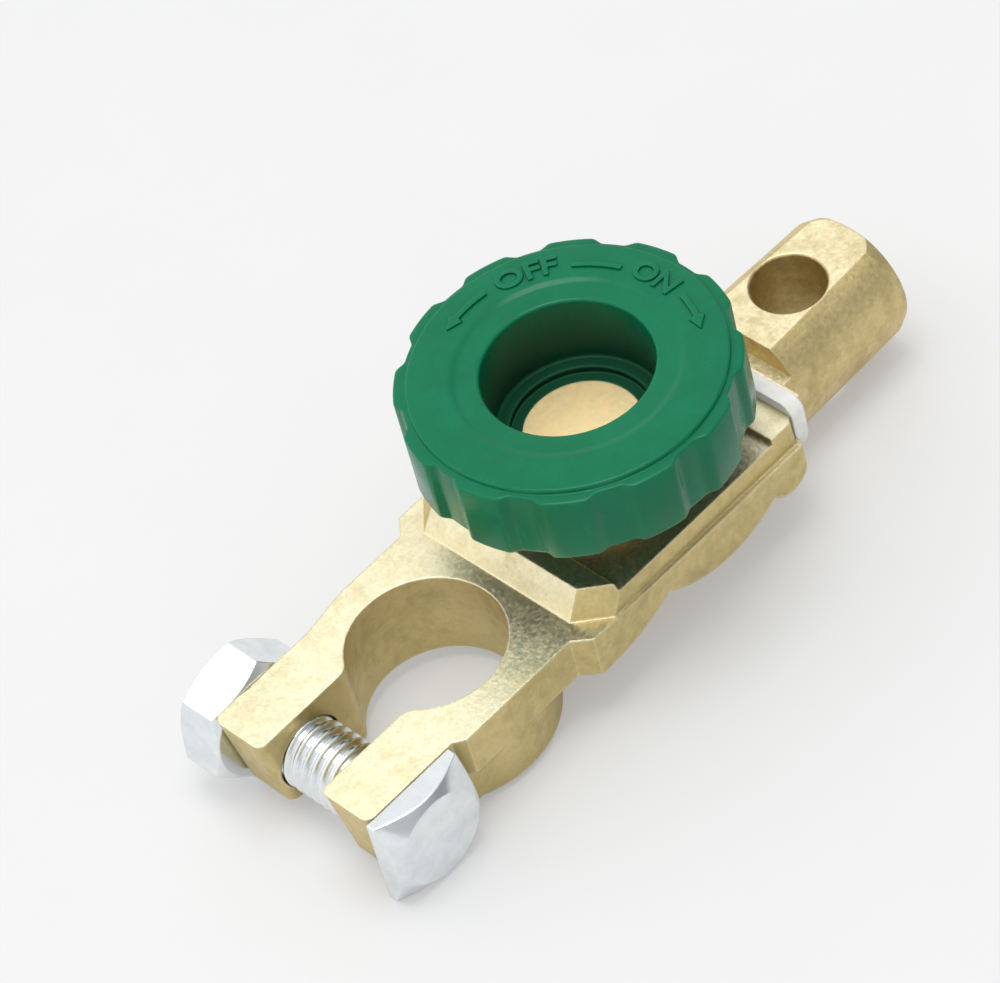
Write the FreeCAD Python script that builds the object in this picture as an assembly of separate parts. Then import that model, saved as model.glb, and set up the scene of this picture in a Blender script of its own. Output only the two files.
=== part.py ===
import FreeCAD, Part
import os
from math import cos, pi, radians, sin, sqrt, tan

# Battery terminal disconnect switch, top-post type, in millimetres.
# The origin is the axis of the battery post bore, at the underside of the clamp ring.
# X runs along the body to the cable post, Y across it to the nut side, Z up.

# Clamp ring and jaws
# Jaw reach, housing, flange, collar plate, neck and post add up to 85 mm
jaw_reach = 19.6
clamp_height = 11.0
bore_diameter = 16.8
ring_diameter = 23.8
slot_width = 8.6
slot_corner_radius = 2.0
jaw_width = 22.0
jaw_front_lean = 1.8
jaw_front_round = 1.0
jaw_foot_chamfer = 0.7
neck_width = 23.9
neck_thickness = 5.3
neck_start = -7.6
head_side_shoulder_end = -6.4
nut_side_slope_start = -6.2
nut_side_slope_end = 0.0

# Housing behind the clamp
housing_start = 8.5
housing_length = 33.0
housing_flare_length = 1.6
housing_width = 27.6
housing_tail_width = 28.4
housing_corner_radius = 0.7
box_width = 21.0
box_from_housing_start = 2.0
box_floor_level = 4.4
# Lower edge of the sides: share of the housing's length, and level
scallop_peaks = [(0.185, 6.0), (0.6, 5.4), (0.915, 6.2)]
scallop_roots = [(0.0, 5.7), (0.364, 8.2), (0.839, 7.6), (1.0, 8.4)]

# Raised block with the sloping front, and the saddle across its top
block_front = 10.3
block_height = 3.1
block_front_lean = 2.0
block_width = 27.0
block_side_lean = 0.2
block_front_chamfer = 3.2
block_rear_chamfer = 0.7
saddle_start = 15.0
saddle_from_end = 3.5
saddle_depth = 0.7

# Cavity for the tongue, and its sleeve
cavity_width = 18.4
cavity_floor = 6.5
cavity_roof = 11.5
cavity_front = 15.4
sleeve_fit = 0.05
sleeve_wall = 0.9
sleeve_flange_thickness = 1.8
sleeve_flange_width = 26.0
sleeve_flange_bottom = 6.1
sleeve_flange_top = 15.3
sleeve_flange_top_corner = 1.6
# Both the flange and the collar plate behind it are round at the foot
flange_foot_corner = 5.0

# Cable post casting
tongue_thickness = 3.0
tongue_clearance = 0.1
tongue_nose_radius = 3.0
collar_plate_thickness = 1.3
collar_plate_width = 22.6
collar_plate_bottom = 6.0
collar_plate_top = 13.6
post_base_diameter = 16.1
post_end_diameter = 15.3
post_axis_level = 6.9
neck_length = 2.9
neck_flat_level = 10.8
post_flat_level = 13.5
post_length = 17.9
post_end_round = 2.0
post_end_facets = 2
lug_hole_diameter = 8.2
lug_hole_from_end = 9.9
lug_hole_edge_chamfer = 0.2

# Dowel that holds the tongue
dowel_diameter = 4.0
dowel_from_housing_end = 5.9
dowel_fit = 0.05

# Threaded stud of the knob
stud_from_housing_start = 17.0
stud_thread_diameter = 12.0
stud_thread_clearance = 0.05
stud_head_diameter = 12.4
stud_flange_across_corners = 16.0
stud_flange_thickness = 1.2
stud_edge_chamfer = 0.4
collar_diameter = 19.0
collar_level = 16.0
collar_edge_chamfer = 0.6

# Swivelling contact foot on the end of the stud
foot_diameter = 11.2
foot_thickness = 1.3
foot_pin_diameter = 4.0
foot_pin_length = 0.8
foot_pin_clearance = 0.05
foot_edge_chamfer = 0.25
foot_window_clearance = 0.5
stud_to_foot_gap = 0.05

# Knob
lobe_count = 12
lobe_radius = 17.7
valley_radius = 17.0
valley_half_angle = 4.2
lobe_shoulder_angle = 3.4
first_valley_angle = -3.0
knob_top_level = 28.9
knob_skirt_level = 19.9
knob_rim_radius = 16.4
knob_rim_step = 0.6
knob_rim_chamfer = 0.4
knob_well_radius = 8.9
knob_well_floor = 20.3
knob_inner_step_radius = 7.4
knob_inner_step_depth = 0.8
knob_hub_radius = 10.9
knob_hub_level = 16.8
knob_skirt_recess = 2.2
knob_wall = 3.0

# Clamp bolt and nut, M8
bolt_diameter = 8.0
bolt_hole_clearance = 0.1
bolt_x = -14.0
bolt_level = 5.0
bolt_head_width = 11.7
bolt_head_thickness = 3.2
bolt_head_face_radius = 5.1
bolt_length = 30.0
bolt_end_chamfer = 1.0
head_chamfer_angle = 25.0
nut_width = 13.0
nut_thickness = 5.6
nut_turn = 17.0
nut_thread_clearance = 0.05
nut_face_diameter = 12.6
nut_chamfer_angle = 30.0
# How far the turned shapes that chamfer the head and the nut stand past their corners
envelope_margin = 0.5

# Sizes that follow from the ones above
bore_radius = bore_diameter / 2
ring_radius = ring_diameter / 2
slot_half = slot_width / 2
jaw_half = jaw_width / 2
neck_half = neck_width / 2
neck_bottom = clamp_height - neck_thickness
housing_half = housing_width / 2
block_top = clamp_height + block_height
saddle_level = block_top - saddle_depth
housing_flare_end = housing_start + housing_flare_length
housing_end = housing_start + housing_length
box_start = housing_start + box_from_housing_start
saddle_end = housing_end - saddle_from_end
dowel_x = housing_end - dowel_from_housing_end
knob_x = housing_start + stud_from_housing_start
flange_end = housing_end + sleeve_flange_thickness
plate_end = flange_end + collar_plate_thickness
neck_end = plate_end + neck_length
post_end = neck_end + post_length
tongue_bottom = cavity_floor + sleeve_wall + sleeve_fit
tongue_top = tongue_bottom + tongue_thickness
tongue_half = cavity_width / 2 - sleeve_fit - sleeve_wall - tongue_clearance
tongue_nose = cavity_front + sleeve_fit + sleeve_wall + tongue_clearance
lug_hole_x = post_end - lug_hole_from_end
stud_end = tongue_top + foot_thickness + stud_to_foot_gap
stud_top = knob_well_floor - knob_inner_step_depth


def slab(x0, x1, y0, y1, z0, z1):
    corner = FreeCAD.Vector(x0, y0, z0)
    return Part.makeBox(x1 - x0, y1 - y0, z1 - z0, corner)


def upright(radius, z0, z1, x=0.0, y=0.0):
    return Part.makeCylinder(radius, z1 - z0, FreeCAD.Vector(x, y, z0))


def across(radius, y0, y1, x, z):
    base = FreeCAD.Vector(x, y0, z)
    return Part.makeCylinder(radius, y1 - y0, base, FreeCAD.Vector(0, 1, 0))


def plan_wire(points, z):
    corners = [FreeCAD.Vector(x, y, z) for x, y in points]
    return Part.makePolygon(corners + corners[:1])


def plan_prism(points, z0, z1):
    face = Part.Face(plan_wire(points, z0))
    return face.extrude(FreeCAD.Vector(0, 0, z1 - z0))


def mirrored(half_points):
    """Close an outline given from front to back on the +Y side."""
    return half_points + [(x, -y) for x, y in reversed(half_points)]


def turned(profile, x=0.0, y=0.0):
    """Turn a profile of radius and height pairs about an upright axis."""
    corners = [FreeCAD.Vector(x + r, y, z) for r, z in profile]
    face = Part.Face(Part.makePolygon(corners + corners[:1]))
    return face.revolve(FreeCAD.Vector(x, y, 0), FreeCAD.Vector(0, 0, 1), 360)


def turned_along(profile, z):
    """Turn a profile of radius and distance pairs about an axis along the body."""
    corners = [FreeCAD.Vector(x, 0, z + r) for r, x in profile]
    face = Part.Face(Part.makePolygon(corners + corners[:1]))
    return face.revolve(FreeCAD.Vector(0, 0, z), FreeCAD.Vector(1, 0, 0), 360)


def turned_across(profile, y0, x, z):
    """Turn a profile of radius and distance pairs about an axis across the body."""
    corners = [FreeCAD.Vector(x + r, y0 + d, z) for r, d in profile]
    face = Part.Face(Part.makePolygon(corners + corners[:1]))
    return face.revolve(FreeCAD.Vector(x, y0, z), FreeCAD.Vector(0, 1, 0), 360)


def upright_edges(shape, test):
    """Edges parallel to Z whose foot passes the test."""
    found = []
    for edge in shape.Edges:
        if len(edge.Vertexes) != 2:
            continue
        a, b = [v.Point for v in edge.Vertexes]
        if abs(a.x - b.x) < 1e-4 and abs(a.y - b.y) < 1e-4 and test(a):
            found.append(edge)
    return found


def level_edges(shape, z, test):
    """Edges that lie flat at a height and whose middle passes the test."""
    found = []
    for edge in shape.Edges:
        box = edge.BoundBox
        if abs(box.ZMin - z) < 1e-4 and abs(box.ZMax - z) < 1e-4 and test(edge.CenterOfMass):
            found.append(edge)
    return found


def long_edges(shape, half, z):
    """Edges parallel to X at a height, on both sides of the middle."""
    return [
        edge for edge in shape.Edges
        if edge.BoundBox.YLength < 1e-4 and edge.BoundBox.ZLength < 1e-4
        and abs(abs(edge.CenterOfMass.y) - half) < 1e-4 and abs(edge.CenterOfMass.z - z) < 1e-4
    ]


def channel(x0, x1, half, z0, z1, nose_radius):
    """A straight channel whose front corners are rounded."""
    solid = slab(x0, x1, -half, half, z0, z1)
    nose = upright_edges(solid, lambda foot: abs(foot.x - x0) < 1e-4)
    return solid.makeFillet(nose_radius, nose)


def clamp_trunk():
    """Neck and housing: the plan outline cut to the scalloped side outline."""
    plan = plan_prism(
        [
            (neck_start, -jaw_half),
            (head_side_shoulder_end, -neck_half),
            (housing_start, -neck_half),
            (housing_flare_end, -housing_half),
            (housing_end, -housing_tail_width / 2),
            (housing_end, housing_tail_width / 2),
            (housing_flare_end, housing_half),
            (housing_start, neck_half),
            (nut_side_slope_end, neck_half),
            (nut_side_slope_start, jaw_half),
            (neck_start, jaw_half),
        ],
        0, clamp_height,
    )
    rear = upright_edges(plan, lambda foot: abs(foot.x - housing_end) < 1e-4)
    plan = plan.makeFillet(housing_corner_radius, rear)

    def spot(x, z):
        return FreeCAD.Vector(x, -housing_width, z)

    def along_housing(share, z):
        return spot(housing_start + share * housing_length, z)

    roots = [along_housing(*root) for root in scallop_roots]
    peaks = [along_housing(*peak) for peak in scallop_peaks]
    edges = [
        Part.Arc(start, peak, end).toShape()
        for start, peak, end in zip(roots, peaks, roots[1:])
    ]
    upper = [
        roots[-1],
        spot(housing_end, clamp_height),
        spot(neck_start, clamp_height),
        spot(neck_start, neck_bottom),
        roots[0],
    ]
    edges.extend(Part.makePolygon(upper).Edges)
    side = Part.Face(Part.Wire(edges)).extrude(FreeCAD.Vector(0, 2 * housing_width, 0))
    return plan.common(side)


def clamp_jaws():
    """Two bars with sloping fronts, round front corners and a chamfer along their feet."""
    foot_x = -jaw_reach + jaw_front_lean
    corners = [(-jaw_reach, clamp_height), (foot_x, 0), (0, 0), (0, clamp_height)]
    points = [FreeCAD.Vector(x, slot_half, z) for x, z in corners]
    face = Part.Face(Part.makePolygon(points + points[:1]))
    jaw = face.extrude(FreeCAD.Vector(0, jaw_half - slot_half, 0))
    front = [
        edge for edge in jaw.Edges
        if edge.BoundBox.ZLength > clamp_height - 1e-4 and edge.CenterOfMass.x < foot_x
    ]
    jaw = jaw.makeFillet(jaw_front_round, front)
    foot = level_edges(jaw, 0, lambda middle: middle.x < -1 and middle.y > slot_half + 1e-4)
    jaw = jaw.makeChamfer(jaw_foot_chamfer, foot)
    return [jaw, jaw.mirror(FreeCAD.Vector(0, 0, 0), FreeCAD.Vector(0, 1, 0))]


def raised_block():
    """The block behind the clamp: sloping front, chamfered corners, saddle and collar."""
    def outline(front, half, z):
        chamfer = block_front_chamfer
        return plan_wire(
            mirrored([
                (front, half - chamfer),
                (front + chamfer, half),
                (housing_end - block_rear_chamfer, half),
                (housing_end, half - block_rear_chamfer),
            ]),
            z,
        )

    lower = outline(block_front, block_width / 2, clamp_height)
    upper = outline(block_front + block_front_lean, block_width / 2 - block_side_lean, block_top)
    block = Part.makeLoft([lower, upper], True, True)
    saddle = slab(saddle_start, saddle_end, -housing_width, housing_width, saddle_level, block_top + 1)
    collar = upright(collar_diameter / 2, saddle_level - 1, collar_level, knob_x)
    rim = level_edges(collar, collar_level, lambda middle: True)
    return block.cut(saddle).fuse(collar.makeChamfer(collar_edge_chamfer, rim))


def bore_and_slot():
    """The space for the battery post and the slot that lets the jaws close on it."""
    bore = upright(bore_radius, -1, clamp_height + 1)
    slot = slab(-jaw_reach - 1, 0, -slot_half, slot_half, -1, clamp_height + 1)
    space = bore.fuse(slot).removeSplitter()
    mouth_x = -sqrt(bore_radius ** 2 - slot_half ** 2)
    corners = upright_edges(space, lambda foot: abs(foot.x - mouth_x) < 0.01)
    return space.makeFillet(slot_corner_radius, corners)


def clamp_body():
    box = slab(box_start, housing_end, -box_width / 2, box_width / 2, box_floor_level, clamp_height)
    body = clamp_trunk().fuse([
        upright(ring_radius, 0, clamp_height), *clamp_jaws(), raised_block(), box,
    ])
    cavity = channel(
        cavity_front, housing_end + 1, cavity_width / 2, cavity_floor, cavity_roof,
        tongue_nose_radius + tongue_clearance + sleeve_wall + sleeve_fit,
    )
    stud_hole = upright(
        stud_thread_diameter / 2 + stud_thread_clearance, cavity_roof - 1, collar_level + 1, knob_x
    )
    dowel_hole = upright(dowel_diameter / 2, box_floor_level - 1, cavity_floor + 1, dowel_x)
    bolt_hole = across(
        bolt_diameter / 2 + bolt_hole_clearance, -jaw_half - 1, jaw_half + 1, bolt_x, bolt_level
    )
    return body.cut([cavity, stud_hole, dowel_hole, bolt_hole, bore_and_slot()]).removeSplitter()


def insulator_sleeve():
    """Nylon sleeve round the tongue, with the flange that parts the two castings."""
    outer_half = cavity_width / 2 - sleeve_fit
    outer = channel(
        cavity_front + sleeve_fit, housing_end, outer_half,
        cavity_floor + sleeve_fit, cavity_roof - sleeve_fit,
        tongue_nose_radius + tongue_clearance + sleeve_wall,
    )
    flange = slab(
        housing_end, flange_end, -sleeve_flange_width / 2, sleeve_flange_width / 2,
        sleeve_flange_bottom, sleeve_flange_top,
    )
    flange_half = sleeve_flange_width / 2
    top_corners = long_edges(flange, flange_half, sleeve_flange_top)
    flange = flange.makeFillet(sleeve_flange_top_corner, top_corners)
    foot_corners = long_edges(flange, flange_half, sleeve_flange_bottom)
    flange = flange.makeFillet(flange_foot_corner, foot_corners)
    inner = channel(
        cavity_front + sleeve_fit + sleeve_wall, flange_end + 1, outer_half - sleeve_wall,
        cavity_floor + sleeve_fit + sleeve_wall, cavity_roof - sleeve_fit - sleeve_wall,
        tongue_nose_radius + tongue_clearance,
    )
    foot_window = upright(
        stud_thread_diameter / 2 + foot_window_clearance, tongue_top, cavity_roof, knob_x
    )
    dowel_hole = upright(dowel_diameter / 2, cavity_floor - 1, tongue_top - 1, dowel_x)
    return outer.fuse(flange).cut([inner, foot_window, dowel_hole]).removeSplitter()


def cable_post():
    """Casting with the tongue, the collar plate and the round post with its lug hole."""
    tongue = channel(
        tongue_nose, flange_end, tongue_half, tongue_bottom, tongue_top, tongue_nose_radius
    )
    plate = slab(
        flange_end, plate_end, -collar_plate_width / 2, collar_plate_width / 2,
        collar_plate_bottom, collar_plate_top,
    )
    foot_corners = long_edges(plate, collar_plate_width / 2, collar_plate_bottom)
    plate = plate.makeFillet(flange_foot_corner, foot_corners)
    radius = post_base_diameter / 2
    end_radius = post_end_diameter / 2
    end_turns = [radians(90 * step / post_end_facets) for step in range(post_end_facets + 1)]
    end_round = [
        (
            end_radius - post_end_round * (1 - cos(turn)),
            post_end - post_end_round * (1 - sin(turn)),
        )
        for turn in end_turns
    ]
    post = turned_along(
        [(0, plate_end), (radius, plate_end), *end_round, (0, post_end)], post_axis_level
    )
    flat = slab(neck_end, post_end + 1, -radius, radius, post_flat_level, post_axis_level + radius + 1)
    neck_flat = slab(
        plate_end, neck_end, -radius, radius, neck_flat_level, post_axis_level + radius + 1
    )
    hole_radius = lug_hole_diameter / 2
    mouth_radius = hole_radius + lug_hole_edge_chamfer
    lug_hole = turned(
        [
            (0, post_axis_level - radius - 1),
            (hole_radius, post_axis_level - radius - 1),
            (hole_radius, post_flat_level - lug_hole_edge_chamfer),
            (mouth_radius, post_flat_level),
            (mouth_radius, post_flat_level + 1),
            (0, post_flat_level + 1),
        ],
        lug_hole_x,
    )
    dowel_hole = upright(
        dowel_diameter / 2 + dowel_fit, tongue_bottom - 1, tongue_top + 1, dowel_x
    )
    body = plate.fuse([tongue, post.cut([flat, neck_flat])])
    return body.cut([lug_hole, dowel_hole]).removeSplitter()


def retaining_dowel():
    """Nylon dowel that pins the tongue in its sleeve without joining the two castings."""
    return upright(dowel_diameter / 2, box_floor_level, tongue_top, dowel_x)


def stud_profile():
    """Half section of the stud from its foot pin to the disc seen in the knob's well."""
    pin = foot_pin_diameter / 2
    thread = stud_thread_diameter / 2
    head = stud_head_diameter / 2
    chamfer = stud_edge_chamfer
    return [
        (0, stud_end - foot_pin_length),
        (pin, stud_end - foot_pin_length),
        (pin, stud_end),
        (thread - chamfer, stud_end),
        (thread, stud_end + chamfer),
        (thread, knob_hub_level),
        (head, knob_hub_level),
        (head, stud_top),
        (0, stud_top),
    ]


def knob_stud():
    """Stud with the hexagonal flange that keeps it from turning in the moulding."""
    corner_radius = stud_flange_across_corners / 2
    corners = []
    for index in range(6):
        turn = radians(60 * index)
        corners.append((knob_x + corner_radius * cos(turn), corner_radius * sin(turn)))
    middle = (knob_hub_level + stud_top) / 2
    flange = plan_prism(
        corners, middle - stud_flange_thickness / 2, middle + stud_flange_thickness / 2
    )
    return turned(stud_profile(), knob_x).fuse(flange).removeSplitter()


def contact_foot():
    """Disc that stays still on the tongue while the stud turns in it."""
    radius = foot_diameter / 2
    edge = foot_edge_chamfer
    foot_top = tongue_top + foot_thickness
    socket_radius = foot_pin_diameter / 2 + foot_pin_clearance
    socket_floor = stud_end - foot_pin_length - stud_to_foot_gap
    profile = [
        (0, tongue_top),
        (radius - edge, tongue_top),
        (radius, tongue_top + edge),
        (radius, foot_top),
        (socket_radius, foot_top),
        (socket_radius, socket_floor),
        (0, socket_floor),
    ]
    return turned(profile, knob_x)


def lobe_outline(z):
    """Closed outline of the grip: broad lobes with shallow valleys between them."""
    def spot(radius, angle):
        turn = radians(angle)
        return FreeCAD.Vector(knob_x + radius * cos(turn), radius * sin(turn), z)

    step = 360.0 / lobe_count
    edges = []
    for index in range(lobe_count):
        valley = first_valley_angle + index * step
        valley_end = valley + valley_half_angle
        lobe_start = valley_end + lobe_shoulder_angle
        lobe_end = valley + step - valley_half_angle - lobe_shoulder_angle
        lobe_middle = valley + step / 2
        next_valley = valley + step - valley_half_angle
        edges.append(
            Part.Arc(
                spot(valley_radius, valley - valley_half_angle),
                spot(valley_radius, valley),
                spot(valley_radius, valley_end),
            ).toShape()
        )
        edges.append(
            Part.LineSegment(spot(valley_radius, valley_end), spot(lobe_radius, lobe_start)).toShape()
        )
        edges.append(
            Part.Arc(
                spot(lobe_radius, lobe_start),
                spot(lobe_radius, lobe_middle),
                spot(lobe_radius, lobe_end),
            ).toShape()
        )
        edges.append(
            Part.LineSegment(spot(lobe_radius, lobe_end), spot(valley_radius, next_valley)).toShape()
        )
    return Part.Wire(edges)


def switch_knob():
    """Moulded knob: lobed grip, raised top face, stepped well, hub and cored underside."""
    shoulder = knob_top_level - knob_rim_step
    grip = Part.Face(lobe_outline(knob_skirt_level)).extrude(
        FreeCAD.Vector(0, 0, shoulder - knob_skirt_level)
    )
    rim = upright(knob_rim_radius, shoulder - 1, knob_top_level, knob_x)
    rim = rim.makeChamfer(knob_rim_chamfer, level_edges(rim, knob_top_level, lambda middle: True))
    hub = upright(knob_hub_radius, knob_hub_level, knob_skirt_level + 1, knob_x)
    well = turned(
        [
            (0, stud_top),
            (knob_inner_step_radius, stud_top),
            (knob_inner_step_radius, knob_well_floor),
            (knob_well_radius, knob_well_floor),
            (knob_well_radius, knob_top_level + 1),
            (0, knob_top_level + 1),
        ],
        knob_x,
    )
    core = turned(
        [
            (knob_hub_radius, knob_skirt_level - 1),
            (valley_radius - knob_wall, knob_skirt_level - 1),
            (valley_radius - knob_wall, knob_skirt_level + knob_skirt_recess),
            (knob_hub_radius, knob_skirt_level + knob_skirt_recess),
        ],
        knob_x,
    )
    return grip.fuse([rim, hub]).cut([well, core, knob_stud()]).removeSplitter()


def clamp_bolt():
    """Square-headed bolt, with its head face chamfered to a circle."""
    half = bolt_head_width / 2
    face_y = -jaw_half - bolt_head_thickness
    head = slab(
        bolt_x - half, bolt_x + half, face_y, -jaw_half, bolt_level - half, bolt_level + half
    )
    reach = half * sqrt(2) + envelope_margin
    drop = (reach - bolt_head_face_radius) * tan(radians(head_chamfer_angle))
    envelope = turned_across(
        [(0, 0), (bolt_head_face_radius, 0), (reach, drop), (reach, bolt_head_thickness),
         (0, bolt_head_thickness)],
        face_y, bolt_x, bolt_level,
    )
    radius = bolt_diameter / 2
    shank = turned_across(
        [(0, -1), (radius, -1), (radius, bolt_length - bolt_end_chamfer),
         (radius - bolt_end_chamfer, bolt_length), (0, bolt_length)],
        -jaw_half, bolt_x, bolt_level,
    )
    return head.common(envelope).fuse(shank).removeSplitter()


def clamp_nut():
    """Hexagon nut, chamfered on both faces."""
    corner_radius = nut_width / 2 / cos(pi / 6)
    corners = []
    for index in range(6):
        turn = radians(nut_turn + 30 + 60 * index)
        x = bolt_x - corner_radius * sin(turn)
        z = bolt_level + corner_radius * cos(turn)
        corners.append(FreeCAD.Vector(x, jaw_half, z))
    face = Part.Face(Part.makePolygon(corners + corners[:1]))
    prism = face.extrude(FreeCAD.Vector(0, nut_thickness, 0))
    flat_radius = nut_face_diameter / 2
    reach = corner_radius + envelope_margin
    drop = (reach - flat_radius) * tan(radians(nut_chamfer_angle))
    envelope = turned_across(
        [(0, 0), (flat_radius, 0), (reach, drop), (reach, nut_thickness - drop),
         (flat_radius, nut_thickness), (0, nut_thickness)],
        jaw_half, bolt_x, bolt_level,
    )
    bore = across(
        bolt_diameter / 2 + nut_thread_clearance, jaw_half - 1, jaw_half + nut_thickness + 1,
        bolt_x, bolt_level,
    )
    return prism.common(envelope).cut(bore).removeSplitter()


pieces = {
    "clamp_body": clamp_body,
    "cable_post": cable_post,
    "insulator_sleeve": insulator_sleeve,
    "retaining_dowel": retaining_dowel,
    "contact_foot": contact_foot,
    "knob_stud": knob_stud,
    "switch_knob": switch_knob,
    "clamp_bolt": clamp_bolt,
    "clamp_nut": clamp_nut,
}

os.makedirs("parts", exist_ok=True)
for name, make in pieces.items():
    shape = make()
    shape.exportStep("parts/" + name + ".step")
    print(name, len(shape.Solids), "solid", round(shape.Volume), "mm3", "valid", shape.isValid())
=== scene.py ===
from math import cos, degrees, hypot, radians, sin, tan, tau

import bmesh
import bpy
from mathutils import Euler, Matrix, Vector


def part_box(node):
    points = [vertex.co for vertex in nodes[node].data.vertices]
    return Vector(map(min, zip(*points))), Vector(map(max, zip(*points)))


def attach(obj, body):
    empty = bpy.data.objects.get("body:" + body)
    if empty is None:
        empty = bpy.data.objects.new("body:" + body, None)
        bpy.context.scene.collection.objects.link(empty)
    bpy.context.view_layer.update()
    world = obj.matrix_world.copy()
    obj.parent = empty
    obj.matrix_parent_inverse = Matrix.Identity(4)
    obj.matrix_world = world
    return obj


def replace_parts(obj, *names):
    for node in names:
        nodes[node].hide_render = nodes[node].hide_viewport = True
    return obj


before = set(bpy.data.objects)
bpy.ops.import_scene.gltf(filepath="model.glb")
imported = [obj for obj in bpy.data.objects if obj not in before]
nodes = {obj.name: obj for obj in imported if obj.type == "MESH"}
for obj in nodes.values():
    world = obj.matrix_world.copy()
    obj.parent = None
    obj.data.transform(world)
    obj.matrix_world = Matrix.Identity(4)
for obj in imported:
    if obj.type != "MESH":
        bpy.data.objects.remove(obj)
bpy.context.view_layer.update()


def millimetres(value):
    return value * 0.001


# Shader building

edgeSamples = 4    # rays of each bevel and corner node


def startGroup(name, inputs, outputs):
    group = bpy.data.node_groups.new(name, "ShaderNodeTree")
    for label, kind, value in inputs:
        socket = group.interface.new_socket(name=label, in_out="INPUT", socket_type=kind)
        socket.default_value = value
    for label, kind in outputs:
        group.interface.new_socket(name=label, in_out="OUTPUT", socket_type=kind)
    return group, group.nodes.new("NodeGroupInput"), group.nodes.new("NodeGroupOutput")


def feed(tree, socket, value):
    if isinstance(value, bpy.types.NodeSocket):
        tree.links.new(value, socket)
    else:
        socket.default_value = value


def addNode(tree, kind, settings=None, **inputs):
    node = tree.nodes.new(kind)
    for key, value in (settings or {}).items():
        setattr(node, key, value)
    for key, value in inputs.items():
        feed(tree, node.inputs[int(key[1:]) if key[1:].isdigit() else key], value)
    return node


def mathNode(tree, operation, a, b, clamp=False):
    node = addNode(tree, "ShaderNodeMath", {"operation": operation, "use_clamp": clamp}, i0=a, i1=b)
    return node.outputs[0]


def dotNode(tree, a, b):
    node = addNode(tree, "ShaderNodeVectorMath", {"operation": "DOT_PRODUCT"}, i0=a, i1=b)
    return node.outputs["Value"]


def mixColor(tree, share, first, second, blend="MIX"):
    node = addNode(tree, "ShaderNodeMix", {"data_type": "RGBA", "blend_type": blend},
                   i0=share, i6=first, i7=second)
    return node.outputs[2]


def remap(tree, value, low, high, toLow, toHigh):
    node = addNode(tree, "ShaderNodeMapRange", {"clamp": True}, i0=value, i1=low, i2=high,
                   i3=toLow, i4=toHigh)
    return node.outputs[0]


def objectPlace(tree):
    return addNode(tree, "ShaderNodeTexCoord").outputs["Object"]


def buildCastGrain():
    # sand-cast skin: fine grain over slow swells, with small pits
    pitScale = 0.3       # of the grain's scale
    pitReach = 0.25      # from a pit's centre to its edge
    swellWeight = 2.0    # against the grain
    group, source, target = startGroup(
        "castGrain",
        [("Grain Scale", "NodeSocketFloat", 2200.0), ("Swell Scale", "NodeSocketFloat", 260.0),
         ("Pit Amount", "NodeSocketFloat", 0.4)],
        [("Height", "NodeSocketFloat"), ("Grain", "NodeSocketFloat")],
    )
    place = objectPlace(group)
    fine = addNode(group, "ShaderNodeTexNoise", Vector=place, Scale=source.outputs["Grain Scale"],
                   Detail=4.0, Roughness=0.65)
    swell = addNode(group, "ShaderNodeTexNoise", Vector=place, Scale=source.outputs["Swell Scale"],
                    Detail=3.0)
    pits = addNode(group, "ShaderNodeTexVoronoi", Vector=place,
                   Scale=mathNode(group, "MULTIPLY", source.outputs["Grain Scale"], pitScale))
    hole = remap(group, pits.outputs["Distance"], 0.0, pitReach, 1.0, 0.0)
    hole = mathNode(group, "MULTIPLY", hole, source.outputs["Pit Amount"])
    rise = mathNode(group, "MULTIPLY", swell.outputs[0], swellWeight)
    height = mathNode(group, "ADD", fine.outputs[0], rise)
    height = mathNode(group, "SUBTRACT", height, hole)
    group.links.new(height, target.inputs["Height"])
    group.links.new(fine.outputs[0], target.inputs["Grain"])
    return group


def buildMottleAndCornerShade():
    # cloudy and mottled colour change, plus painted shade that darkens corners and hollows
    cloudRange = (0.42, 0.72)     # noise from clean to stained
    mottleRange = (0.38, 0.68)
    mottleGain = (-0.25, 0.55)    # what the mottle takes from or adds to the clouds
    cornerShut = 0.25             # openness of a corner that gets the full painted shade
    group, source, target = startGroup(
        "mottleAndCornerShade",
        [("Clean", "NodeSocketColor", (0.8, 0.7, 0.45, 1)),
         ("Stain", "NodeSocketColor", (0.4, 0.36, 0.18, 1)),
         ("Cloud Scale", "NodeSocketFloat", 90.0), ("Mottle Scale", "NodeSocketFloat", 800.0),
         ("Amount", "NodeSocketFloat", 0.4), ("Corner Depth", "NodeSocketFloat", 0.004),
         ("Corner Open", "NodeSocketFloat", 0.9), ("Corner Amount", "NodeSocketFloat", 0.9)],
        [("Color", "NodeSocketColor"), ("Mask", "NodeSocketFloat")],
    )
    place = objectPlace(group)
    cloud = addNode(group, "ShaderNodeTexNoise", Vector=place, Scale=source.outputs["Cloud Scale"],
                    Detail=5.0, Roughness=0.62, Distortion=0.4)
    mottle = addNode(group, "ShaderNodeTexNoise", Vector=place,
                     Scale=source.outputs["Mottle Scale"], Detail=3.0, Roughness=0.6)
    patch = remap(group, cloud.outputs[0], *cloudRange, 0.0, 1.0)
    spots = remap(group, mottle.outputs[0], *mottleRange, *mottleGain)
    patch = mathNode(group, "ADD", patch, spots, clamp=True)
    # painted shade: ambient occlusion darkens shut-in corners towards the stain colour
    corner = addNode(group, "ShaderNodeAmbientOcclusion", {"samples": edgeSamples},
                     Distance=source.outputs["Corner Depth"])
    shade = remap(group, corner.outputs["AO"], cornerShut, source.outputs["Corner Open"], 1.0, 0.0)
    patch = mathNode(group, "MULTIPLY", patch, source.outputs["Amount"])
    shade = mathNode(group, "MULTIPLY", shade, source.outputs["Corner Amount"])
    mask = mathNode(group, "MAXIMUM", patch, shade)
    color = mixColor(group, mask, source.outputs["Clean"], source.outputs["Stain"])
    group.links.new(color, target.inputs["Color"])
    group.links.new(mask, target.inputs["Mask"])
    return group


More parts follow.
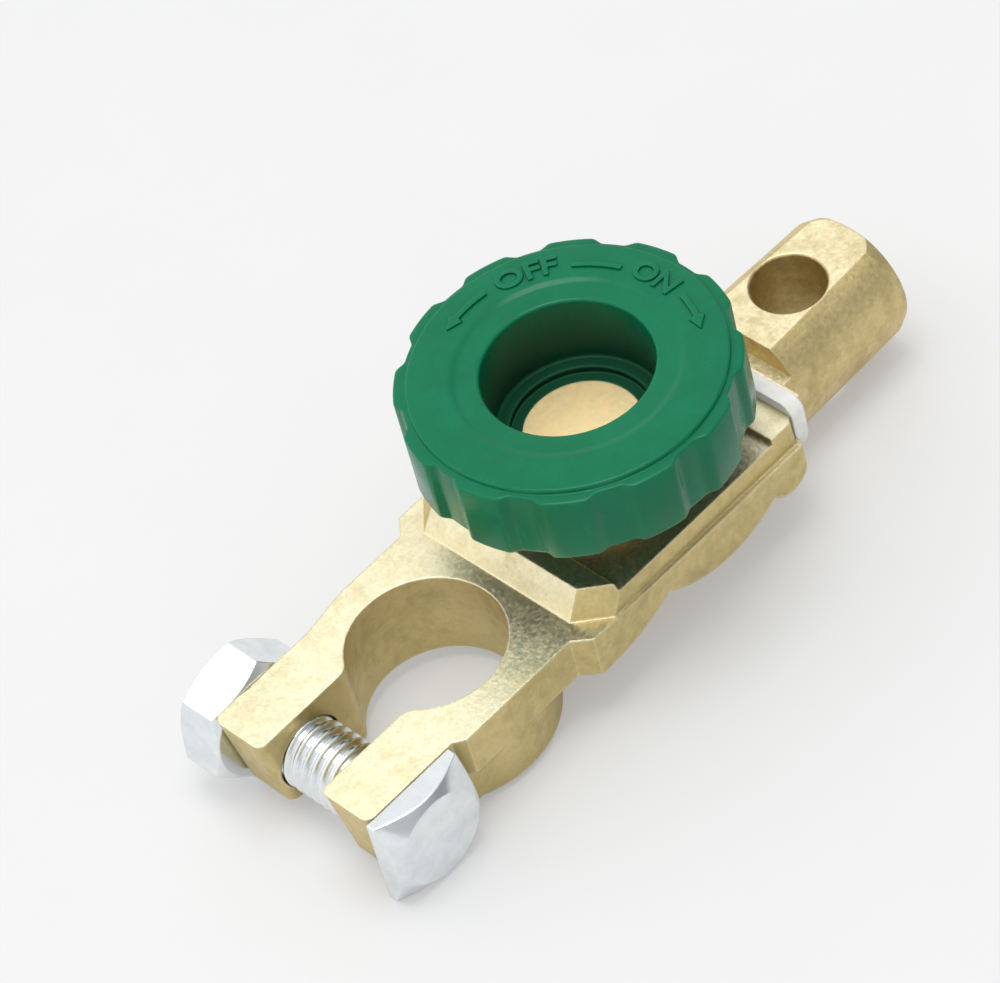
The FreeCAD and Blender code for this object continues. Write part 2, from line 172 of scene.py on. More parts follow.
def buildSoftEdge():
    # rounded-looking edges and a mask of where they are rubbed
    rubRange = (0.75, 0.995)    # dot of the rounded and the plain normal, rubbed to untouched
    group, source, target = startGroup(
        "softEdge",
        [("Radius", "NodeSocketFloat", 0.0003), ("Rub Width", "NodeSocketFloat", 0.0005)],
        [("Normal", "NodeSocketVector"), ("Rubbed", "NodeSocketFloat")],
    )
    samples = {"samples": edgeSamples}
    rounded = addNode(group, "ShaderNodeBevel", samples, Radius=source.outputs["Radius"])
    wide = addNode(group, "ShaderNodeBevel", samples, Radius=source.outputs["Rub Width"])
    facing = addNode(group, "ShaderNodeNewGeometry").outputs["Normal"]
    rubbed = remap(group, dotNode(group, wide.outputs[0], facing), *rubRange, 1.0, 0.0)
    group.links.new(rounded.outputs[0], target.inputs["Normal"])
    group.links.new(rubbed, target.inputs["Rubbed"])
    return group


def buildPaintedTopHighlightMask():
    # painted highlight: faces that look upwards are masked for a lighter colour, standing in for
    # light falling from above
    up = (0.0, 0.0, 1.0)
    highlightBreakupRange = (0.3, 0.7)    # noise from whole highlight to broken up
    group, source, target = startGroup(
        "paintedTopHighlightMask",
        [("Ragged", "NodeSocketFloat", 0.2), ("Slope From", "NodeSocketFloat", 0.3),
         ("Slope To", "NodeSocketFloat", 0.5)],
        [("Mask", "NodeSocketFloat")],
    )
    facing = addNode(group, "ShaderNodeTexCoord").outputs["Normal"]
    level = dotNode(group, facing, up)
    highlightBreakup = addNode(group, "ShaderNodeTexNoise", Vector=objectPlace(group), Scale=420.0, Detail=5.0,
                   Roughness=0.7)
    highlightBreakup = remap(group, highlightBreakup.outputs[0], *highlightBreakupRange, 0.0, 1.0)
    upward = remap(group, level, source.outputs["Slope From"], source.outputs["Slope To"], 0.0, 1.0)
    loss = mathNode(group, "MULTIPLY", highlightBreakup, source.outputs["Ragged"])
    mask = mathNode(group, "SUBTRACT", upward, loss, clamp=True)
    group.links.new(mask, target.inputs["Mask"])
    return group


def buildStreaks():
    # stretched noise: streaks of the plating and flow marks of the mouldings
    streakRange = (0.35, 0.7)
    group, source, target = startGroup(
        "streaks",
        [("Stretch", "NodeSocketVector", (1.0, 1.0, 1.0)), ("Scale", "NodeSocketFloat", 400.0)],
        [("Mask", "NodeSocketFloat"), ("Height", "NodeSocketFloat")],
    )
    stretched = addNode(group, "ShaderNodeVectorMath", {"operation": "MULTIPLY"},
                        i0=objectPlace(group), i1=source.outputs["Stretch"])
    lines = addNode(group, "ShaderNodeTexNoise", Vector=stretched.outputs[0],
                    Scale=source.outputs["Scale"], Detail=6.0, Roughness=0.7)
    group.links.new(remap(group, lines.outputs[0], *streakRange, 0.0, 1.0), target.inputs["Mask"])
    group.links.new(lines.outputs[0], target.inputs["Height"])
    return group


castGrain = buildCastGrain()
mottleAndCornerShade = buildMottleAndCornerShade()
softEdge = buildSoftEdge()
paintedTopHighlightMask = buildPaintedTopHighlightMask()
streaks = buildStreaks()


def useGroup(tree, group, **values):
    node = tree.nodes.new("ShaderNodeGroup")
    node.node_tree = group
    for label, value in values.items():
        node.inputs[label.replace("_", " ")].default_value = value
    return node


def startMaterial(name, metallic, **principled):
    material = bpy.data.materials.new(name)
    material.use_nodes = True
    tree = material.node_tree
    shader = tree.nodes["Principled BSDF"]
    shader.inputs["Metallic"].default_value = metallic
    for label, value in principled.items():
        shader.inputs[label.replace("_", " ")].default_value = value
    return material, tree, shader


def addRelief(tree, shader, height, normal, distance):
    bump = addNode(tree, "ShaderNodeBump", Strength=1.0, Distance=distance, Height=height,
                   Normal=normal)
    tree.links.new(bump.outputs[0], shader.inputs["Normal"])


def brassFinish(name, look):
    speckRange, roughRange = (0.3, 0.7), (0.25, 0.75)    # of the grain's noise
    stainShadeRough, rubSmooth = 0.12, 0.1    # what stains and painted corner shade add to the roughness and rubbing takes off
    material, tree, shader = startMaterial(name, 1.0)
    grain = useGroup(tree, castGrain, Grain_Scale=look["grainScale"],
                     Swell_Scale=look["swellScale"], Pit_Amount=look["pits"])
    # tarnish clouds, plus painted shade that darkens corners towards the stain colour
    stainAndShade = useGroup(tree, mottleAndCornerShade, Clean=look["clean"], Stain=look["stainAndShade"],
                     Cloud_Scale=look["cloudScale"], Mottle_Scale=look["mottleScale"],
                     Amount=look["stainAmount"], Corner_Depth=look["cornerDepth"],
                     Corner_Amount=look["cornerAmount"])
    edge = useGroup(tree, softEdge, Radius=look["edgeRadius"], Rub_Width=look["rubWidth"])
    paintedTopHighlight = useGroup(tree, paintedTopHighlightMask, Ragged=look["ragged"], Slope_From=look["slopes"][0],
                      Slope_To=look["slopes"][1])
    # painted highlight: upward faces take the lighter top colour, except where stain or painted
    # shade lies
    upward = mathNode(tree, "MULTIPLY", paintedTopHighlight.outputs["Mask"], look["paintedTopHighlightAmount"])
    clearOfStainShade = mathNode(tree, "SUBTRACT", 1.0, stainAndShade.outputs["Mask"])
    upward = mathNode(tree, "MULTIPLY", upward, clearOfStainShade)
    color = mixColor(tree, upward, stainAndShade.outputs["Color"], look["paintedTopHighlight"])
    rub = mathNode(tree, "MULTIPLY", edge.outputs["Rubbed"], look["rubAmount"], clamp=True)
    color = mixColor(tree, rub, color, look["rubbed"])
    speck = remap(tree, grain.outputs["Grain"], *speckRange, *look["speck"])
    tint = addNode(tree, "ShaderNodeCombineColor", i0=speck, i1=speck, i2=speck).outputs[0]
    color = mixColor(tree, 1.0, color, tint, "MULTIPLY")
    tree.links.new(color, shader.inputs["Base Color"])
    rough = remap(tree, grain.outputs["Grain"], *roughRange, *look["rough"])
    roughFromStainShade = mathNode(tree, "MULTIPLY", stainAndShade.outputs["Mask"], stainShadeRough)
    rough = mathNode(tree, "ADD", rough, roughFromStainShade)
    worn = mathNode(tree, "MULTIPLY", rub, rubSmooth)
    rough = mathNode(tree, "SUBTRACT", rough, worn)
    smoother = mathNode(tree, "MULTIPLY", upward, look["paintedTopHighlightSmooth"])
    rough = mathNode(tree, "SUBTRACT", rough, smoother, clamp=True)
    tree.links.new(rough, shader.inputs["Roughness"])
    addRelief(tree, shader, grain.outputs["Height"], edge.outputs["Normal"], look["relief"])
    return material


# ground colour: painted highlight on upward faces; stain colour also takes the painted corner shade
# set by corner depth and amount
castBrass = brassFinish("castBrass", {
    "clean": (0.67, 0.545, 0.265, 1), "stainAndShade": (0.31, 0.26, 0.10, 1),
    "rubbed": (0.97, 0.88, 0.60, 1), "paintedTopHighlight": (0.97, 0.91, 0.65, 1),
    "paintedTopHighlightAmount": 1.0, "paintedTopHighlightSmooth": 0.12, "ragged": 0.2, "slopes": (0.45, 0.53),
    "grainScale": 2400.0, "swellScale": 300.0, "pits": 0.12, "speck": (0.91, 1.07),
    "cloudScale": 95.0, "mottleScale": 650.0, "stainAmount": 0.40,
    "cornerDepth": 0.006, "cornerAmount": 0.75,
    "edgeRadius": 0.0003, "rubWidth": 0.00055, "rubAmount": 0.6,
    "rough": (0.36, 0.54), "relief": 0.000025,
})
# ground colour: painted highlight on upward faces; stain colour also takes the painted corner shade
# set by corner depth and amount
postBrass = brassFinish("postBrass", {
    "clean": (0.72, 0.58, 0.29, 1), "stainAndShade": (0.42, 0.34, 0.145, 1),
    "rubbed": (0.97, 0.88, 0.60, 1), "paintedTopHighlight": (0.97, 0.89, 0.62, 1),
    "paintedTopHighlightAmount": 1.0, "paintedTopHighlightSmooth": 0.05, "ragged": 0.6, "slopes": (0.9, 0.99),
    "grainScale": 2000.0, "swellScale": 220.0, "pits": 0.4, "speck": (0.86, 1.06),
    "cloudScale": 120.0, "mottleScale": 600.0, "stainAmount": 0.55,
    "cornerDepth": 0.003, "cornerAmount": 0.05,
    "edgeRadius": 0.0003, "rubWidth": 0.0005, "rubAmount": 0.5,
    "rough": (0.36, 0.54), "relief": 0.00005,
})
# ground colour: painted highlight on upward faces; stain colour also takes the painted corner shade
# set by corner depth and amount
studBrass = brassFinish("studBrass", {
    "clean": (1.0, 0.80, 0.44, 1), "stainAndShade": (0.84, 0.60, 0.28, 1),
    "rubbed": (1.0, 0.9, 0.62, 1), "paintedTopHighlight": (1.0, 0.84, 0.50, 1),
    "paintedTopHighlightAmount": 0.7, "paintedTopHighlightSmooth": 0.0, "ragged": 0.6, "slopes": (0.85, 0.97),
    "grainScale": 1500.0, "swellScale": 320.0, "pits": 0.25, "speck": (0.94, 1.04),
    "cloudScale": 160.0, "mottleScale": 500.0, "stainAmount": 0.25,
    "cornerDepth": 0.001, "cornerAmount": 0.8,
    "edgeRadius": 0.0002, "rubWidth": 0.0003, "rubAmount": 0.3,
    "rough": (0.52, 0.66), "relief": 0.00001,
})


def platedFinish(name, look):
    material, tree, shader = startMaterial(name, 1.0)
    lines = useGroup(tree, streaks, Stretch=look["stretch"], Scale=look["scale"])
    edge = useGroup(tree, softEdge, Radius=look["edgeRadius"], Rub_Width=look["rubWidth"])
    color = mixColor(tree, lines.outputs["Mask"], look["bright"], look["dull"])
    color = mixColor(tree, mathNode(tree, "MULTIPLY", edge.outputs["Rubbed"], look["rubAmount"]),
                     color, look["edge"])
    tree.links.new(color, shader.inputs["Base Color"])
    rough = remap(tree, lines.outputs["Mask"], 0.0, 1.0, *look["rough"])
    tree.links.new(rough, shader.inputs["Roughness"])
    addRelief(tree, shader, lines.outputs["Height"], edge.outputs["Normal"], look["relief"])
    return material


zincPlate = platedFinish("zincPlate", {
    "bright": (0.83, 0.865, 0.88, 1), "dull": (0.69, 0.725, 0.745, 1), "edge": (0.99, 1.0, 1.0, 1),
    "rubAmount": 0.7, "stretch": (1.0, 0.6, 1.0), "scale": 380.0, "edgeRadius": 0.0002,
    "rubWidth": 0.0004, "rough": (0.14, 0.26), "relief": 0.000008,
})


def plasticFinish(name, look):
    flow = (1.0, 1.0, 0.6)    # the moulding's flow marks are drawn out upwards
    hollowRough = 0.4         # what a hollow adds to the roughness
    coatKept = 0.6            # share of the coat on the palest marks
    material, tree, shader = startMaterial(
        name, 0.0, Coat_Roughness=look["coatRoughness"], IOR=look["ior"],
    )
    lines = useGroup(tree, streaks, Stretch=flow, Scale=look["scale"])
    edge = useGroup(tree, softEdge, Radius=look["edgeRadius"], Rub_Width=look["rubWidth"])
    # painted shade: hollows such as the knob's well darken towards the hollow colour, with a faint
    # mottle
    mottleAndHollowShade = useGroup(tree, mottleAndCornerShade, Stain=look["mottleAndHollowShade"], Amount=look["mottle"],
                      Corner_Depth=look["hollowDepth"], Corner_Open=look["hollowOpen"],
                      Corner_Amount=look["hollowAmount"])
    color = mixColor(tree, lines.outputs["Mask"], look["deep"], look["pale"])
    tree.links.new(color, mottleAndHollowShade.inputs["Clean"])
    color = mixColor(tree, mathNode(tree, "MULTIPLY", edge.outputs["Rubbed"], look["rubAmount"]),
                     mottleAndHollowShade.outputs["Color"], look["edge"])
    tree.links.new(color, shader.inputs["Base Color"])
    rough = remap(tree, lines.outputs["Mask"], 0.0, 1.0, *look["rough"])
    deeper = mathNode(tree, "MULTIPLY", mottleAndHollowShade.outputs["Mask"], hollowRough)
    rough = mathNode(tree, "ADD", rough, deeper, clamp=True)
    tree.links.new(rough, shader.inputs["Roughness"])
    coat = remap(tree, lines.outputs["Mask"], 0.0, 1.0, look["coat"], look["coat"] * coatKept)
    tree.links.new(coat, shader.inputs["Coat Weight"])
    addRelief(tree, shader, lines.outputs["Height"], edge.outputs["Normal"], look["relief"])
    return material


# the hollow colour is painted shade inside the knob's well and its other hollows
greenPlastic = plasticFinish("greenPlastic", {
    "deep": (0.0, 0.135, 0.056, 1), "pale": (0.0, 0.157, 0.068, 1), "edge": (0.01, 0.30, 0.15, 1),
    "mottleAndHollowShade": (0.0, 0.015, 0.006, 1), "hollowDepth": 0.017, "hollowOpen": 0.75, "hollowAmount": 1.0,
    "mottle": 0.05, "scale": 240.0, "edgeRadius": 0.0002, "rubWidth": 0.00035, "rubAmount": 0.45,
    "rough": (0.20, 0.30), "coat": 0.03, "coatRoughness": 0.15, "ior": 1.28,
    "relief": 0.000008,
})
# the hollow colour is painted shade in the nylon's corners
whiteNylon = plasticFinish("whiteNylon", {
    "deep": (0.80, 0.79, 0.76, 1), "pale": (0.90, 0.90, 0.88, 1), "edge": (0.95, 0.95, 0.94, 1),
    "mottleAndHollowShade": (0.55, 0.53, 0.46, 1), "hollowDepth": 0.002, "hollowOpen": 0.8, "hollowAmount": 0.8,
    "mottle": 0.3, "scale": 300.0, "edgeRadius": 0.0003, "rubWidth": 0.0004, "rubAmount": 0.3,
    "rough": (0.34, 0.5), "coat": 0.1, "coatRoughness": 0.3, "ior": 1.53,
    "relief": 0.00002,
})
print("finishes ready")


# Mesh building

def makePiece(name, work, material, body, sharpAngle):
    # faces that meet steeper than the angle keep a sharp edge, the rest are smooth
    bmesh.ops.recalc_face_normals(work, faces=work.faces)
    for edge in work.edges:
        edge.smooth = len(edge.link_faces) == 2 and edge.calc_face_angle(0.0) < sharpAngle
    for face in work.faces:
        face.smooth = True
    mesh = bpy.data.meshes.new(name)
    work.to_mesh(mesh)
    work.free()
    mesh.materials.append(material)
    piece = bpy.data.objects.new(name, mesh)
    bpy.context.scene.collection.objects.link(piece)
    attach(piece, body)
    return piece


def joinRings(work, rings, closed=False):
    # one face between each pair of neighbours on neighbouring rings
    count = len(rings)
    around = len(rings[0])
    for index in range(count if closed else count - 1):
        here, there = rings[index], rings[(index + 1) % count]
        for step in range(around):
            following = (step + 1) % around
            work.faces.new((here[step], there[step], there[following], here[following]))


def splitWideFaces(work):
    # faces of more than four corners become triangles
    bmesh.ops.triangulate(work, faces=[face for face in work.faces if len(face.verts) > 4])


# Castings and fittings keep their solids and get their finishes

fittings = {
    "clamp_body": castBrass, "cable_post": postBrass, "insulator_sleeve": whiteNylon,
    "retaining_dowel": whiteNylon, "contact_foot": studBrass, "knob_stud": studBrass,
    "clamp_nut": zincPlate,
}

for nodeName, material in fittings.items():
    for materialSlot in nodes[nodeName].material_slots:
        materialSlot.material = material
print("castings and fittings dressed")


# Knob

knobLow, knobHigh = [Vector(corner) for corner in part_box("switch_knob")]
knob = {
    "centreX": (knobLow.x + knobHigh.x) / 2, "top": knobHigh.z, "hubBottom": knobLow.z,
    "skirt": knobLow.z + millimetres(3.1), "lobes": 12, "firstValley": radians(-3.0),
    "valleyHalf": radians(3.6), "shoulder": radians(4.6),
    "lobeRadius": millimetres(17.7), "valleyRadius": millimetres(16.95),
    "rim": millimetres(16.4), "rimStep": millimetres(0.55), "rimLean": millimetres(0.08),
    "land": millimetres(11.3), "landSlope": millimetres(0.6), "landDepth": millimetres(0.28),
    "well": millimetres(8.9), "wellFloor": knobHigh.z - millimetres(8.6),
    "wellStep": millimetres(7.4), "studLevel": knobHigh.z - millimetres(9.4),
    "stud": millimetres(6.2), "hub": millimetres(10.9), "skirtInner": millimetres(14.0),
    "recess": millimetres(2.2), "steps": 360, "sharpAngle": radians(50),
    "roundShare": 0.45,    # most of a run that a rounded corner may take
}


def lobeRadiusAt(angle):
    step = tau / knob["lobes"]
    away = abs((angle - knob["firstValley"] + step / 2) % step - step / 2)
    share = min(max((away - knob["valleyHalf"]) / knob["shoulder"], 0.0), 1.0)
    share = share * share * (3 - 2 * share)    # eased at both ends
    return knob["valleyRadius"] + (knob["lobeRadius"] - knob["valleyRadius"]) * share


def roundCorner(before, corner, after, radius, count=5):
    # points of a rounded corner between two straight runs
    start = corner + (before - corner).normalized() * radius
    end = corner + (after - corner).normalized() * radius
    points = []
    for index in range(count):
        t = index / (count - 1)
        points.append(start * (1 - t) ** 2 + corner * 2 * t * (1 - t) + end * t * t)
    return points


def knobSection():
    # half section, from the stud round the underside and over the top back to the stud
    k = knob
    rest = k["valleyRadius"]
    shoulderZ = k["top"] - k["rimStep"]
    landZ = k["top"] - k["landDepth"]
    # radius and height of each corner, and its rounding in millimetres
    corners = [
        (k["stud"], k["studLevel"], 0.0), (k["stud"], k["hubBottom"], 0.0),
        (k["hub"], k["hubBottom"], 0.4), (k["hub"], k["skirt"] + k["recess"], 0.0),
        (k["skirtInner"], k["skirt"] + k["recess"], 0.3), (k["skirtInner"], k["skirt"], 0.3),
        (rest, k["skirt"], 0.6), (rest, shoulderZ, 0.4), (k["rim"], shoulderZ, 0.1),
        (k["rim"] - k["rimLean"], k["top"], 0.3),
        (k["land"] + k["landSlope"], k["top"], 0.35), (k["land"], landZ, 0.3),
        (k["well"], landZ, 0.45), (k["well"], k["wellFloor"], 0.4),
        (k["wellStep"], k["wellFloor"], 0.25), (k["wellStep"], k["studLevel"], 0.1),
    ]
    section = []
    for index, (r, z, rounding) in enumerate(corners):
        spot = Vector((r, z))
        if rounding:
            before = Vector(corners[index - 1][:2])
            after = Vector(corners[(index + 1) % len(corners)][:2])
            room = min((before - spot).length, (after - spot).length) * k["roundShare"]
            section.extend(roundCorner(before, spot, after, min(millimetres(rounding), room)))
        else:
            section.append(spot)
    return section


def buildKnob():
    k = knob
    rest = k["valleyRadius"]
    underside = k["skirt"] + millimetres(0.1)    # just above the skirt's lower face
    section = knobSection()
    work = bmesh.new()
    rings = []
    for step in range(k["steps"]):
        angle = step / k["steps"] * tau
        stretch = lobeRadiusAt(angle) - rest
        ring = []
        for spot in section:
            # only the grip follows the lobes
            inside = k["skirtInner"] if spot.y < underside else k["rim"]
            share = min(max((spot.x - inside) / (rest - inside), 0.0), 1.0)
            r = spot.x + stretch * share
            ring.append(work.verts.new((k["centreX"] + r * cos(angle), r * sin(angle), spot.y)))
        rings.append(ring)
    joinRings(work, rings, closed=True)
    piece = makePiece("knobMoulding", work, greenPlastic, "knob", k["sharpAngle"])
    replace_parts(piece, "switch_knob")


buildKnob()
print("knob moulded")


# Raised ON and OFF with their arrows

lettering = {
    "height": millimetres(2.5), "relief": millimetres(0.24), "sink": millimetres(0.15),
    "bevel": millimetres(0.07), "sharpAngle": radians(30),
    "bold": 0.012, "fontBevel": 0.018,    # of the flat words, at font size 1
    "bevelsDeep": 3,    # half their thickness, in bevels
    # starts and ends in degrees round the knob
    "words": [
        {"name": "wordOff", "text": "OFF", "start": 74.5, "end": 47.0, "foot": millimetres(12.6)},
        {"name": "wordOn", "text": "ON", "start": 13.0, "end": -9.0, "foot": millimetres(12.6)},
    ],
    "strips": [
        {"name": "middleDash", "start": 41.0, "end": 18.5, "radius": millimetres(13.4),
         "width": millimetres(0.5)},
        {"name": "offArrow", "start": 80.0, "end": 105.0, "radius": millimetres(13.8),
         "width": millimetres(0.6), "head": millimetres(1.7)},
        {"name": "onArrow", "start": -15.0, "end": -36.0, "radius": millimetres(13.8),
         "width": millimetres(0.6), "head": millimetres(1.7)},
    ],
}


def onKnobTop(radius, angle, rise):
    return Vector((knob["centreX"] + radius * cos(angle), radius * sin(angle), knob["top"] + rise))


def spread(values, value):
    # 0 at the lowest of the values, 1 at the highest
    return (value - min(values)) / (max(values) - min(values))


def raiseWord(word):
    curve = bpy.data.curves.new(word["name"], "FONT")
    curve.body = word["text"]
    curve.offset = lettering["bold"]
    curve.extrude = lettering["fontBevel"] * lettering["bevelsDeep"]
    curve.bevel_depth = lettering["fontBevel"]
    curve.bevel_resolution = 1
    curve.resolution_u = 5
    flat = bpy.data.objects.new("flatWord", curve)
    bpy.context.scene.collection.objects.link(flat)
    bpy.context.view_layer.update()
    reached = bpy.context.evaluated_depsgraph_get()
    mesh = bpy.data.meshes.new_from_object(flat.evaluated_get(reached))
    bpy.data.objects.remove(flat)
    work = bmesh.new()
    work.from_mesh(mesh)
    bmesh.ops.remove_doubles(work, verts=work.verts, dist=1e-4)
    across, up, out = [[vertex.co[axis] for vertex in work.verts] for axis in range(3)]
    # bent round the knob
    turn = word["end"] - word["start"]
    for vertex, x, y, z in zip(work.verts, across, up, out):
        angle = radians(word["start"] + turn * spread(across, x))
        radius = word["foot"] + lettering["height"] * spread(up, y)
        rise = (lettering["relief"] + lettering["sink"]) * spread(out, z) - lettering["sink"]
        vertex.co = onKnobTop(radius, angle, rise)
    makePiece(word["name"], work, greenPlastic, "knob", lettering["sharpAngle"])


def arcPoints(radius, start, end, count=14):
    return [(radius, radians(start + (end - start) * i / (count - 1))) for i in range(count)]


def raiseStrip(strip):
    # a bar along an arc, with an arrow head where the strip has one
    middle, half, neck = strip["radius"], strip["width"] / 2, strip["end"]
    tip = []
    if "head" in strip:
        wing = strip["head"] / 2
        turn = 1 if strip["end"] > strip["start"] else -1
        neck -= turn * degrees(strip["head"] / middle)
        tip = [(middle + wing, radians(neck)), (middle, radians(strip["end"])),
               (middle - wing, radians(neck))]
    outline = arcPoints(middle + half, strip["start"], neck) + tip
    outline += arcPoints(middle - half, neck, strip["start"])
    work = bmesh.new()
    rings = [
        [work.verts.new(onKnobTop(radius, angle, rise)) for radius, angle in outline]
        for rise in (-lettering["sink"], lettering["relief"])
    ]
    joinRings(work, rings)
    work.faces.new(rings[0])
    lid = work.faces.new(rings[1])
    bmesh.ops.bevel(work, geom=list(lid.edges), offset=lettering["bevel"], segments=1,
                    affect="EDGES")
    splitWideFaces(work)
    makePiece(strip["name"], work, greenPlastic, "knob", lettering["sharpAngle"])


for word in lettering["words"]:
    raiseWord(word)
for strip in lettering["strips"]:
    raiseStrip(strip)
print("lettering raised")


# Clamp bolt with a rolled thread

boltLow, boltHigh = [Vector(corner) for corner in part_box("clamp_bolt")]
bolt = {
    "axisX": (boltLow.x + boltHigh.x) / 2, "axisZ": (boltLow.z + boltHigh.z) / 2,
    "seat": boltLow.y + millimetres(3.2), "end": boltHigh.y,
    "pitch": millimetres(1.25), "crest": millimetres(3.99), "root": millimetres(3.36),
    "crestShare": 0.14, "flankShare": 0.72,    # of half a pitch
    "endRadius": millimetres(3.0), "endChamfer": millimetres(1.0), "overlap": millimetres(0.5),
    "around": 48, "perPitch": 10, "threadSharp": radians(60),
    "headDisc": millimetres(5.1), "headSlope": radians(35), "headCorner": millimetres(0.12),
    "cornerAngle": radians(18), "flatAngle": radians(2),    # rounded above, merged below
    "headSharp": radians(15),
}


def threadRadius(y, angle):
    phase = (y / bolt["pitch"] - angle / tau) % 1.0
    # flat crest, straight flanks and flat root
    distance = abs(phase - 0.5) * 2
    share = min(max((distance - bolt["crestShare"]) / bolt["flankShare"], 0.0), 1.0)
    radius = bolt["crest"] + (bolt["root"] - bolt["crest"]) * share
    fromEnd = bolt["end"] - y
    if fromEnd < bolt["endChamfer"]:
        taper = (bolt["crest"] - bolt["endRadius"]) * fromEnd / bolt["endChamfer"]
        radius = min(radius, bolt["endRadius"] + taper)
    return radius


def buildThread():
    start = bolt["seat"] - bolt["overlap"]    # inside the head
    rows = int((bolt["end"] - start) / bolt["pitch"] * bolt["perPitch"])
    work = bmesh.new()
    rings = []
    for row in range(rows + 1):
        y = start + (bolt["end"] - start) * row / rows
        ring = []
        for step in range(bolt["around"]):
            angle = step / bolt["around"] * tau
            r = threadRadius(y, angle)
            spot = (bolt["axisX"] + r * sin(angle), y, bolt["axisZ"] + r * cos(angle))
            ring.append(work.verts.new(spot))
        rings.append(ring)
    joinRings(work, rings)
    work.faces.new(rings[0])
    work.faces.new(rings[-1])
    return makePiece("boltThread", work, zincPlate, "bolt", bolt["threadSharp"])


def buildBoltHead():
    # the head starts from the solid's faces, and the shank is left to the thread
    pastSeat = bolt["seat"] + millimetres(0.01)
    beforeSeat = bolt["seat"] - millimetres(0.05)
    pastDisc = bolt["headDisc"] + millimetres(0.02)
    work = bmesh.new()
    work.from_mesh(nodes["clamp_bolt"].data)
    shank = [face for face in work.faces if face.calc_center_median().y > pastSeat]
    bmesh.ops.delete(work, geom=shank, context="FACES")
    bmesh.ops.remove_doubles(work, verts=work.verts, dist=1e-6)
    bmesh.ops.dissolve_limit(work, angle_limit=bolt["flatAngle"], verts=work.verts,
                             edges=work.edges)
    # the corners fall away a little more steeply than the solid's
    for vertex in work.verts:
        radius = hypot(vertex.co.x - bolt["axisX"], vertex.co.z - bolt["axisZ"])
        if vertex.co.y < beforeSeat and radius > pastDisc:
            vertex.co.y = boltLow.y + (radius - bolt["headDisc"]) * tan(bolt["headSlope"])
    corners = [
        edge for edge in work.edges
        if len(edge.link_faces) == 2 and edge.calc_face_angle(0.0) > bolt["cornerAngle"]
        and min(vertex.co.y for vertex in edge.verts) < beforeSeat
    ]
    bmesh.ops.bevel(work, geom=corners, offset=bolt["headCorner"], segments=2, profile=0.5,
                    affect="EDGES", clamp_overlap=True)
    splitWideFaces(work)
    return makePiece("boltHead", work, zincPlate, "bolt", bolt["headSharp"])


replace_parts(buildBoltHead(), "clamp_bolt")
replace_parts(buildThread(), "clamp_bolt")
print("bolt threaded")


# Stand, lights and camera

stand = {
    "tilt": (-0.00193, 0.05509, 0.99848), "touch": Vector((-0.0157, 0.0138, -0.00233)),
    "size": 8.0, "squares": 8, "color": (0.44, 0.443, 0.446, 1),
    "cloudColor": (0.43, 0.433, 0.436, 1), "cloudScale": 30.0,
    "roughness": 0.6, "glow": 0.30, "glowColor": (1.0, 1.0, 1.0, 1),
}


def buildStand():
    work = bmesh.new()
    bmesh.ops.create_grid(work, x_segments=stand["squares"], y_segments=stand["squares"],
                          size=stand["size"] / 2)
    mesh = bpy.data.meshes.new("paleTable")
    work.to_mesh(mesh)
    work.free()
    table = bpy.data.objects.new("paleTable", mesh)
    bpy.context.scene.collection.objects.link(table)
    table.location = stand["touch"]
    table.rotation_euler = Vector(stand["tilt"]).to_track_quat("Z", "Y").to_euler()
    material, tree, shader = startMaterial("tablePaper", 0.0, Roughness=stand["roughness"])
    cloud = useGroup(tree, streaks, Scale=stand["cloudScale"])
    color = mixColor(tree, cloud.outputs["Mask"], stand["color"], stand["cloudColor"])
    tree.links.new(color, shader.inputs["Base Color"])
    # a light table, so the shadows stay pale
    shader.inputs["Emission Color"].default_value = stand["glowColor"]
    shader.inputs["Emission Strength"].default_value = stand["glow"]
    mesh.materials.append(material)


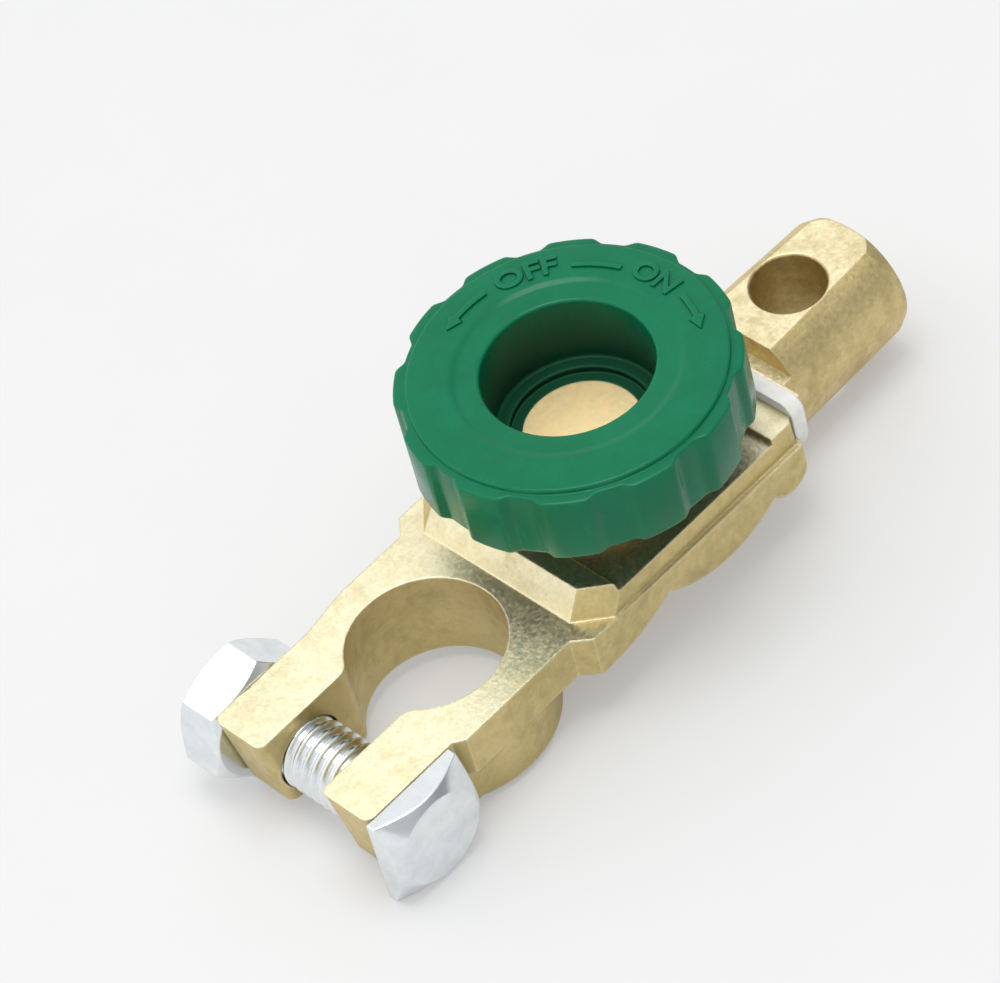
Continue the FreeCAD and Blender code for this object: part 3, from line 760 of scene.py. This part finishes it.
studio = {
    "aim": (0.02, 0.0, 0.01),
    "softboxes": [
        {"name": "leftSoftbox", "place": (-0.40, 0.30, 0.55), "size": (0.7, 0.6), "power": 0.7,
         "color": (1.0, 0.995, 0.985)},
        {"name": "topSoftbox", "place": (0.02, 0.0, 0.65), "size": (0.32, 0.32), "power": 1.7,
         "color": (1.0, 0.99, 0.97)},
    ],
    "roomStrength": 1.03, "roomSide": (-0.55, 0.50, 0.67),
    "roomDim": (0.33, 0.335, 0.34, 1), "roomBright": (1.0, 1.0, 1.0, 1),
    "roomFade": (-0.5, 0.4),    # from dim to bright, as the cosine of the angle to roomSide
}


def addSoftbox(softbox):
    light = bpy.data.lights.new(softbox["name"], "AREA")
    light.shape = "RECTANGLE"
    light.size, light.size_y = softbox["size"]
    light.energy = softbox["power"]
    light.color = softbox["color"]
    lamp = bpy.data.objects.new(softbox["name"], light)
    lamp.location = softbox["place"]
    outward = Vector(softbox["place"]) - Vector(studio["aim"])
    lamp.rotation_euler = outward.to_track_quat("Z", "Y").to_euler()
    bpy.context.scene.collection.objects.link(lamp)


def buildRoom():
    # pale room, brighter above and on the left
    world = bpy.data.worlds.new("paleRoom")
    bpy.context.scene.world = world
    world.use_nodes = True
    tree = world.node_tree
    toward = addNode(tree, "ShaderNodeTexCoord").outputs["Generated"]
    cosine = dotNode(tree, toward, Vector(studio["roomSide"]).normalized())
    share = remap(tree, cosine, *studio["roomFade"], 0.0, 1.0)
    color = mixColor(tree, share, studio["roomDim"], studio["roomBright"])
    background = tree.nodes["Background"]
    tree.links.new(color, background.inputs["Color"])
    background.inputs["Strength"].default_value = studio["roomStrength"]


buildStand()
for softbox in studio["softboxes"]:
    addSoftbox(softbox)
buildRoom()

camera = {
    "place": (-0.17878, -0.28275, 0.39817), "turn": (41.062, 10.762, -46.336),
    "lens": 184.85, "sensor": 36.0, "nearest": 0.01,
}
cameraData = bpy.data.cameras.new("photoCamera")
cameraData.lens = camera["lens"]
cameraData.sensor_width = camera["sensor"]
cameraData.clip_start = camera["nearest"]
photoCamera = bpy.data.objects.new("photoCamera", cameraData)
photoCamera.location = camera["place"]
photoCamera.rotation_euler = Euler([radians(angle) for angle in camera["turn"]], "XYZ")
bpy.context.scene.collection.objects.link(photoCamera)
bpy.context.scene.camera = photoCamera
bpy.context.scene.view_settings.view_transform = "Standard"
print("stand, lights and camera set")
